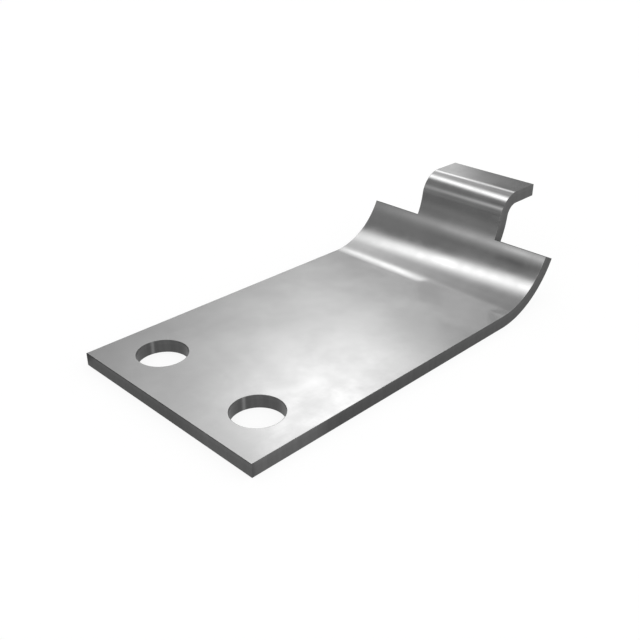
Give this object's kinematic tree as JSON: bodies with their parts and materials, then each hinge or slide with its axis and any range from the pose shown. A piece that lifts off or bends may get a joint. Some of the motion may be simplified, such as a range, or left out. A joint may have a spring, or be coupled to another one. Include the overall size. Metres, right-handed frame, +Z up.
{
  "type": "tube clip",
  "caption": "Press-formed steel plate clip: flat plate with bolt holes at the square end, a curved saddle that cups a tube, and a narrow tongue bent back into a level hook lip.",
  "frame": {"origin": "midway between the two bolt holes, on the underside of the flat plate", "axes": "+X along the strip from the bolt holes to the hook, +Y across the strip and parallel to the tube's axis, +Z up, out of the side that the tube lies on"},
  "size_m": [0.1405, 0.07, 0.031],
  "materials": {
    "bright_steel": "bright rolled steel, bare and lightly oiled, with soft cloudy gloss and sheared edges"
  },
  "bodies": {
    "root": {"clip": "bright_steel"}
  },
  "joints": []
}
